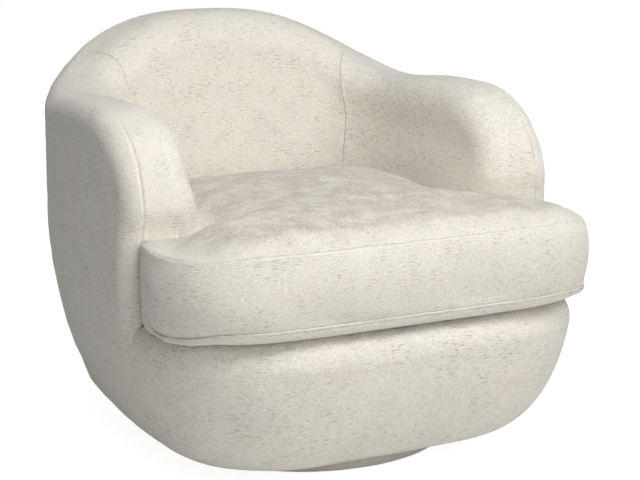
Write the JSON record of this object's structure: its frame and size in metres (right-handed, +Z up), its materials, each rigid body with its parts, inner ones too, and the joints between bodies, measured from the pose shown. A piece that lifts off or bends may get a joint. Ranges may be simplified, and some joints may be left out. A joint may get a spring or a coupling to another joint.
{
  "type": "swivel chair",
  "caption": "Low barrel-backed upholstered swivel chair with wrap-around arms, a loose T-shaped seat cushion and a round plinth that it turns on.",
  "frame": {"origin": "on the floor, on the swivel axis, at the middle of the round plinth", "axes": "+Z up along the swivel axis, -Y towards the open front that the sitter faces, +X to the right as seen from the front (the sitter's left)"},
  "size_m": [0.8598, 0.95, 0.756],
  "materials": {
    "chenille": "matte",
    "cushion_chenille": "matte",
    "plywood": "matte",
    "foam": "matte",
    "deck_cloth": "matte",
    "spring_steel": "satin",
    "zinc": "satin",
    "plate_paint": "satin",
    "ball_steel": "polished",
    "cage_nylon": "satin",
    "white_nylon": "satin",
    "floor_felt_wool": "matte",
    "tie_wire": "matte",
    "webbing": "matte",
    "black_cambric": "matte",
    "zip_fabric": "matte",
    "zip_metal": "satin"
  },
  "bodies": {
    "base": {"plinth_drum": "plywood", "plinth_cover": "chenille", "floor_felt": "floor_felt_wool", "swivel_lower_plate": "plate_paint", "lower_plate_screws": "zinc", "pivot_bolt": "zinc", "pivot_washer": "white_nylon", "pivot_nut": "zinc"},
    "ball_cage": {"ball_cage": "cage_nylon", "bearing_balls": "ball_steel"},
    "seat": {"swivel_upper_plate": "plate_paint", "upper_plate_bolts": "zinc", "tee_nuts": "zinc", "base_board": "plywood", "dust_cover": "black_cambric", "belly_ribs": "plywood", "front_rail": "plywood", "back_rail": "plywood", "left_rail": "plywood", "right_rail": "plywood", "rear_spring_rail": "plywood", "corner_blocks": "plywood", "seat_springs": "spring_steel", "spring_clips": "zinc", "tie_wires": "tie_wire", "deck_pad": "deck_cloth", "left_arm_panel": "plywood", "right_arm_panel": "plywood", "wall_ribs": "plywood", "crest_rail": "plywood", "back_webbing": "webbing", "outer_cover": "chenille", "front_border": "chenille", "front_edge_foam": "foam", "left_arm_pad": "chenille", "right_arm_pad": "chenille", "back_pad": "chenille"},
    "cushion": {"cushion_cover": "cushion_chenille", "cushion_base_panel": "cushion_chenille", "cushion_core": "foam", "cushion_welt": "cushion_chenille", "zip_tape": "zip_fabric"},
    "zip_slider": {"zip_slider": "zip_metal"}
  },
  "joints": [
    {"name": "seat_swivel", "type": "hinge", "parent": "base", "child": "seat", "pos_m": [0, 0, 0.03915], "axis": [0, 0, 1], "continuous": true},
    {"name": "cage_turn", "type": "hinge", "parent": "base", "child": "ball_cage", "pos_m": [0, 0, 0.03915], "axis": [0, 0, 1], "continuous": true},
    {"name": "cushion_lift", "type": "slide", "parent": "seat", "child": "cushion", "axis": [0, 0, 1], "range_m": [0, 0.46]},
    {"name": "zip_run", "type": "hinge", "parent": "cushion", "child": "zip_slider", "pos_m": [0, -0.87491, 0.3583], "axis": [0, 0, 1], "range_deg": [0, 9]}
  ],
  "couplings": [
    {"joint": "cage_turn", "follows": "seat_swivel", "ratio": 0.5}
  ]
}
